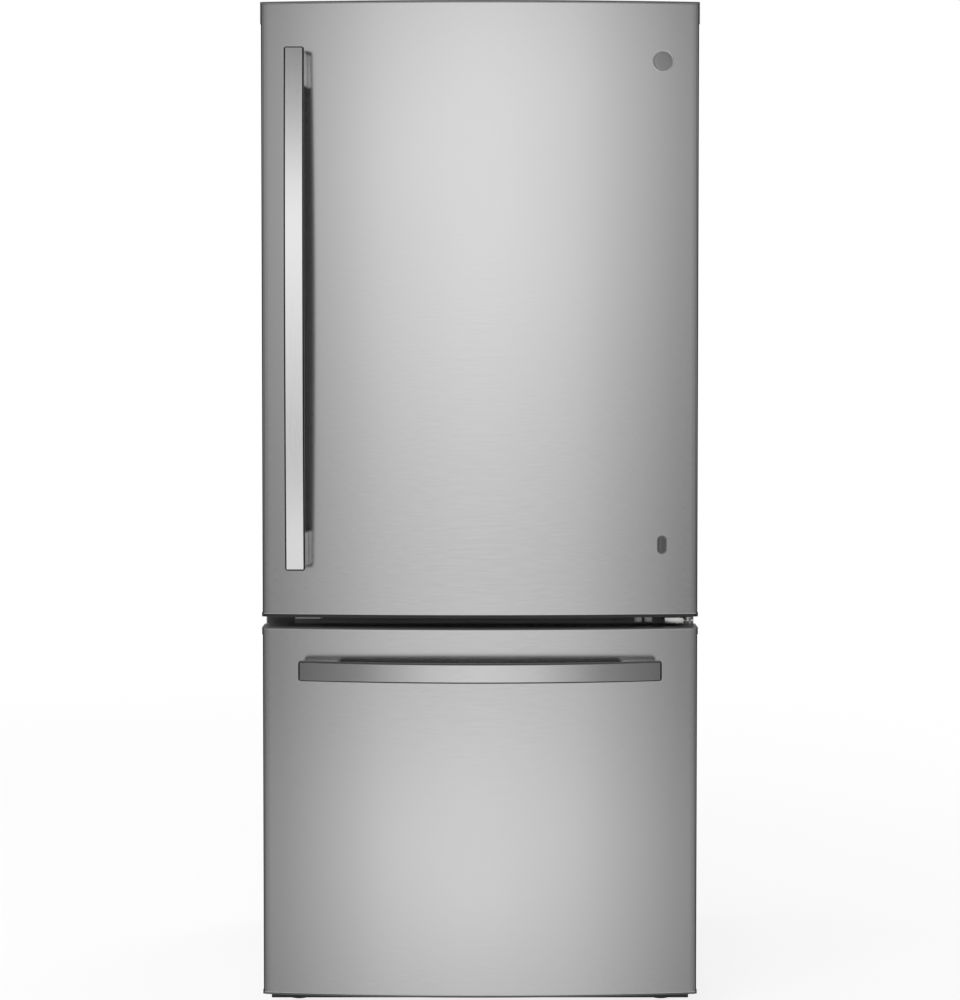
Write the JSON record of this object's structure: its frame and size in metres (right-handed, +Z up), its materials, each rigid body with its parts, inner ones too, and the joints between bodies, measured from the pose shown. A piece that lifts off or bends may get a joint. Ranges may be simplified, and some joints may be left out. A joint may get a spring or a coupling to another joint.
{
  "type": "bottom freezer refrigerator",
  "caption": "Free-standing refrigerator with one hinged upper door and a pull-out freezer drawer below, bowed steel fronts and bar handles.",
  "frame": {"origin": "on the floor, under the middle of the bounding box", "axes": "+Z up, -Y towards the person who opens the door, +X to their right"},
  "size_m": [0.7556, 0.8809, 1.751],
  "materials": {
    "case_paint": "fine orange-peel enamel, semi-gloss",
    "stainless": "brushed, satin, fingerprint-resistant",
    "bright_steel": "finely brushed, semi-bright",
    "dark_trim": "fine texture",
    "badge_metal": "satin disc",
    "liner_white": "vacuum-formed, soft gloss",
    "foam": "rigid polyurethane foam",
    "zinc": "zinc plated",
    "gasket_grey": "soft vinyl",
    "clear_bin": "clear moulded",
    "white_bin": "moulded",
    "shelf_trim": "moulded",
    "shelf_glass": "tempered",
    "lens": "frosted diffuser",
    "cover_grey": "moulded",
    "compressor_black": "black enamel",
    "coil_black": "black enamel",
    "coil_aluminium": "drawn tube and fins",
    "fan_grey": "moulded",
    "roller_plastic": "hard plastic"
  },
  "bodies": {
    "cabinet": {"outer_case": "case_paint", "back_panel": "zinc", "cabinet_insulation": "foam", "fresh_food_liner": "liner_white", "freezer_liner": "liner_white", "center_rail": "case_paint", "top_hinge": "zinc", "top_hinge_cover": "dark_trim", "center_hinge": "bright_steel", "case_screws": "zinc", "base_grille": "dark_trim", "base_rails": "zinc", "compressor": "compressor_black", "condenser_coil": "coil_black", "condenser_fan_motor": "zinc", "drain_pan": "fan_grey", "machine_cover": "zinc", "evaporator": "coil_aluminium", "evaporator_cover": "white_bin", "air_duct": "white_bin", "control_panel": "shelf_trim", "light_lens": "lens", "shelf_tracks": "liner_white", "shelf_brackets": "liner_white", "shelf_frames": "shelf_trim", "shelf_glass": "shelf_glass", "freezer_rails_outer": "zinc"},
    "door": {"door_skin": "stainless", "door_top_cap": "dark_trim", "door_bottom_cap": "dark_trim", "door_insulation": "foam", "door_liner": "liner_white", "door_gasket": "gasket_grey", "door_handle_bar": "bright_steel", "door_handle_mounts": "cover_grey", "front_badges": "badge_metal", "door_stop": "cover_grey", "door_bins": "clear_bin", "dairy_bin": "clear_bin"},
    "dairy_lid": {"dairy_lid": "clear_bin"},
    "drawer": {"drawer_skin": "stainless", "drawer_top_cap": "dark_trim", "drawer_bottom_cap": "dark_trim", "drawer_insulation": "foam", "drawer_liner": "liner_white", "drawer_gasket": "gasket_grey", "drawer_handle_bar": "bright_steel", "drawer_handle_mounts": "cover_grey", "drawer_rails_inner": "zinc", "lower_basket": "white_bin"},
    "middle_rails": {"drawer_rails_middle": "zinc"},
    "upper_basket": {"upper_basket": "white_bin"},
    "crisper_right": {"crisper_right": "clear_bin"},
    "crisper_left": {"crisper_left": "clear_bin"},
    "front_rollers": {"front_rollers": "roller_plastic"},
    "rear_rollers": {"rear_rollers": "roller_plastic"},
    "leg_right": {"leg_right": "zinc"},
    "leg_left": {"leg_left": "zinc"},
    "condenser_fan": {"condenser_fan": "fan_grey"},
    "evaporator_fan": {"evaporator_fan": "fan_grey"}
  },
  "joints": [
    {"name": "door_hinge", "type": "hinge", "parent": "cabinet", "child": "door", "pos_m": [0.362, -0.3115, 1], "axis": [0, 0, 1], "range_deg": [0, 135]},
    {"name": "dairy_lid_hinge", "type": "hinge", "parent": "door", "child": "dairy_lid", "pos_m": [0, -0.2715, 1.545], "axis": [1, 0, 0], "range_deg": [0, 80]},
    {"name": "drawer_slide", "type": "slide", "parent": "cabinet", "child": "drawer", "axis": [0, -1, 0], "range_m": [0, 0.4]},
    {"name": "middle_rail_slide", "type": "slide", "parent": "cabinet", "child": "middle_rails", "axis": [0, -1, 0], "range_m": [0, 0.2]},
    {"name": "upper_basket_slide", "type": "slide", "parent": "cabinet", "child": "upper_basket", "axis": [0, -1, 0], "range_m": [0, 0.24]},
    {"name": "crisper_right_slide", "type": "slide", "parent": "cabinet", "child": "crisper_right", "axis": [0, -1, 0], "range_m": [0, 0.283]},
    {"name": "crisper_left_slide", "type": "slide", "parent": "cabinet", "child": "crisper_left", "axis": [0, -1, 0], "range_m": [0, 0.283]},
    {"name": "front_roller_spin", "type": "hinge", "parent": "cabinet", "child": "front_rollers", "pos_m": [0, -0.1795, 0.022], "axis": [1, 0, 0], "continuous": true},
    {"name": "rear_roller_spin", "type": "hinge", "parent": "cabinet", "child": "rear_rollers", "pos_m": [0, 0.3805, 0.019], "axis": [1, 0, 0], "continuous": true},
    {"name": "leg_right_screw", "type": "slide", "parent": "cabinet", "child": "leg_right", "axis": [0, 0, -1], "range_m": [0, 0.012]},
    {"name": "leg_left_screw", "type": "slide", "parent": "cabinet", "child": "leg_left", "axis": [0, 0, -1], "range_m": [0, 0.012]},
    {"name": "condenser_fan_spin", "type": "hinge", "parent": "cabinet", "child": "condenser_fan", "pos_m": [0.02, 0.3425, 0.15], "axis": [1, 0, 0], "continuous": true},
    {"name": "evaporator_fan_spin", "type": "hinge", "parent": "cabinet", "child": "evaporator_fan", "pos_m": [0, 0.3035, 0.578], "axis": [0, 1, 0], "continuous": true}
  ],
  "couplings": [
    {"joint": "middle_rail_slide", "follows": "drawer_slide", "ratio": 0.5},
    {"joint": "upper_basket_slide", "follows": "drawer_slide", "ratio": 0.6},
    {"joint": "crisper_right_slide", "follows": "door_hinge", "m_per_rad": 0.12},
    {"joint": "crisper_left_slide", "follows": "door_hinge", "m_per_rad": 0.12}
  ]
}
